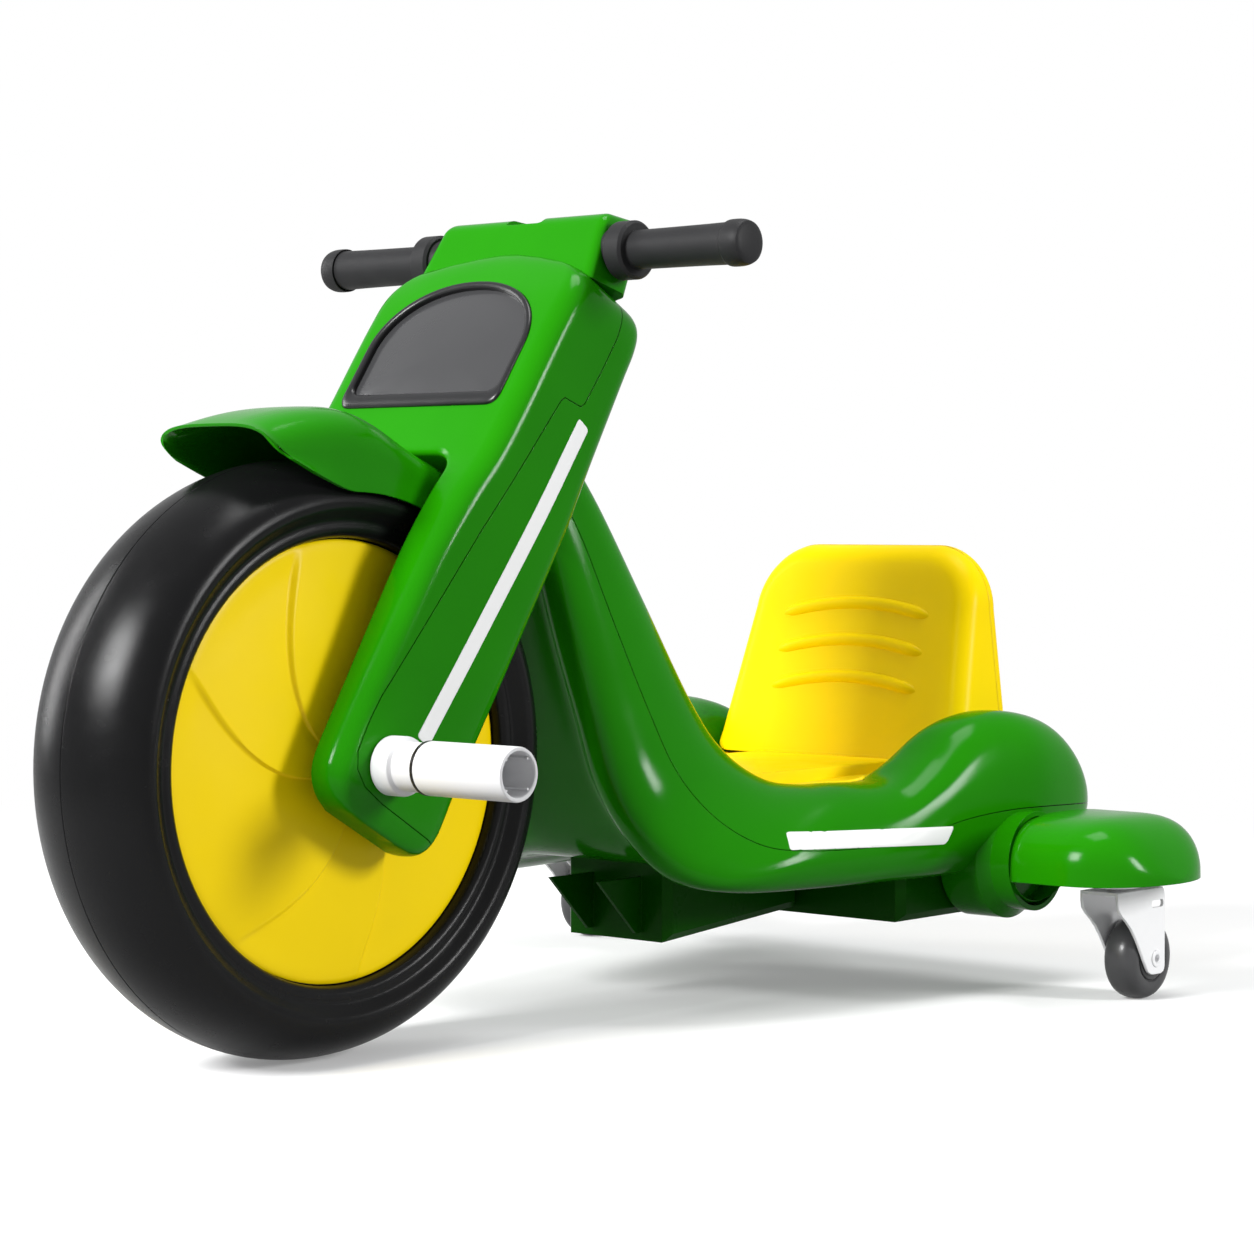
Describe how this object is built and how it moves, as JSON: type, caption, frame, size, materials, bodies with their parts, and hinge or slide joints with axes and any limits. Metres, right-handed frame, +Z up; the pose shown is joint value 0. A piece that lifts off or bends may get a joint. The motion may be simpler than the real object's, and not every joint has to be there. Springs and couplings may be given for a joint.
{
  "type": "drift trike",
  "caption": "Child's moulded drift trike with a big steered front wheel, foot pegs, scooter body with low seat back, and swivel castors on arms behind.",
  "frame": {"origin": "on the floor under the middle of the length, in the middle of the width", "axes": "+Z up, the front wheel and the handlebar face -Y, the left side of a rider facing forwards is +X"},
  "size_m": [0.68, 0.9, 0.5851],
  "materials": {
    "green_plastic": "mid green moulded plastic, high gloss",
    "yellow_plastic": "bright yellow moulded plastic, satin gloss",
    "tyre": "smooth black, soft sheen",
    "grip": "dark grey, smooth satin",
    "trim_black": "black, semi-gloss",
    "window_grey": "dark smoke grey, glossy",
    "white_plastic": "white, satin gloss",
    "zinc": "bright zinc plating",
    "steel": "drawn steel",
    "nylon": "natural nylon",
    "castor_grey": "dark grey moulded tread"
  },
  "bodies": {
    "frame": {"body_lower_shell": "green_plastic", "body_upper_shell": "green_plastic", "deck_liner": "yellow_plastic", "head_block": "green_plastic", "head_tube": "steel", "head_bush_upper": "nylon", "head_bush_lower": "nylon", "seat_front_shell": "yellow_plastic", "seat_rear_shell": "yellow_plastic", "underbox_front": "green_plastic", "underbox_rear": "green_plastic", "arm_socket_left": "green_plastic", "arm_socket_right": "green_plastic", "cross_tube": "steel", "castor_arm_left": "green_plastic", "castor_arm_right": "green_plastic", "castor_plate_left": "zinc", "castor_pin_left": "zinc", "castor_plate_right": "zinc", "castor_pin_right": "zinc"},
    "steering": {"fork_front_shell": "green_plastic", "fork_rear_shell": "green_plastic", "window_frame": "trim_black", "window_panel": "window_grey", "mudguard": "green_plastic", "handlebar_cover": "green_plastic", "handlebar_tube": "steel", "grip_left": "grip", "grip_right": "grip", "steering_column": "steel", "stem_nut": "zinc", "handlebar_clamp": "steel", "front_axle": "steel", "axle_spacer_left": "steel", "axle_spacer_right": "steel", "peg_core_left": "white_plastic", "peg_core_right": "white_plastic", "peg_washer_left": "zinc", "peg_washer_right": "zinc"},
    "front_wheel": {"front_tyre": "tyre", "wheel_rim": "yellow_plastic", "wheel_cover_left": "yellow_plastic", "wheel_cover_right": "yellow_plastic", "wheel_bush_left": "nylon", "wheel_bush_right": "nylon"},
    "peg_left": {"peg_sleeve_left": "white_plastic"},
    "peg_right": {"peg_sleeve_right": "white_plastic"},
    "castor_left": {"castor_yoke_left": "zinc", "castor_axle_left": "zinc"},
    "castor_right": {"castor_yoke_right": "zinc", "castor_axle_right": "zinc"},
    "castor_wheel_left": {"castor_wheel_left": "castor_grey"},
    "castor_wheel_right": {"castor_wheel_right": "castor_grey"}
  },
  "joints": [
    {"name": "steering_turn", "type": "hinge", "parent": "frame", "child": "steering", "pos_m": [0, -0.04943, 0.4485], "axis": [0, 0.5, 0.866], "range_deg": [-26, 26]},
    {"name": "front_wheel_spin", "type": "hinge", "parent": "steering", "child": "front_wheel", "pos_m": [0, -0.246, 0.204], "axis": [1, 0, 0], "continuous": true},
    {"name": "peg_spin_left", "type": "hinge", "parent": "steering", "child": "peg_left", "pos_m": [0.166, -0.246, 0.204], "axis": [1, 0, 0], "continuous": true},
    {"name": "peg_spin_right", "type": "hinge", "parent": "steering", "child": "peg_right", "pos_m": [-0.166, -0.246, 0.204], "axis": [1, 0, 0], "continuous": true},
    {"name": "castor_swivel_left", "type": "hinge", "parent": "frame", "child": "castor_left", "pos_m": [0.281, 0.332, 0.086], "axis": [0, 0, 1], "continuous": true},
    {"name": "castor_swivel_right", "type": "hinge", "parent": "frame", "child": "castor_right", "pos_m": [-0.281, 0.332, 0.086], "axis": [0, 0, 1], "continuous": true},
    {"name": "castor_wheel_spin_left", "type": "hinge", "parent": "castor_left", "child": "castor_wheel_left", "pos_m": [0.281, 0.365, 0.03175], "axis": [1, 0, 0], "continuous": true},
    {"name": "castor_wheel_spin_right", "type": "hinge", "parent": "castor_right", "child": "castor_wheel_right", "pos_m": [-0.281, 0.365, 0.03175], "axis": [1, 0, 0], "continuous": true}
  ]
}
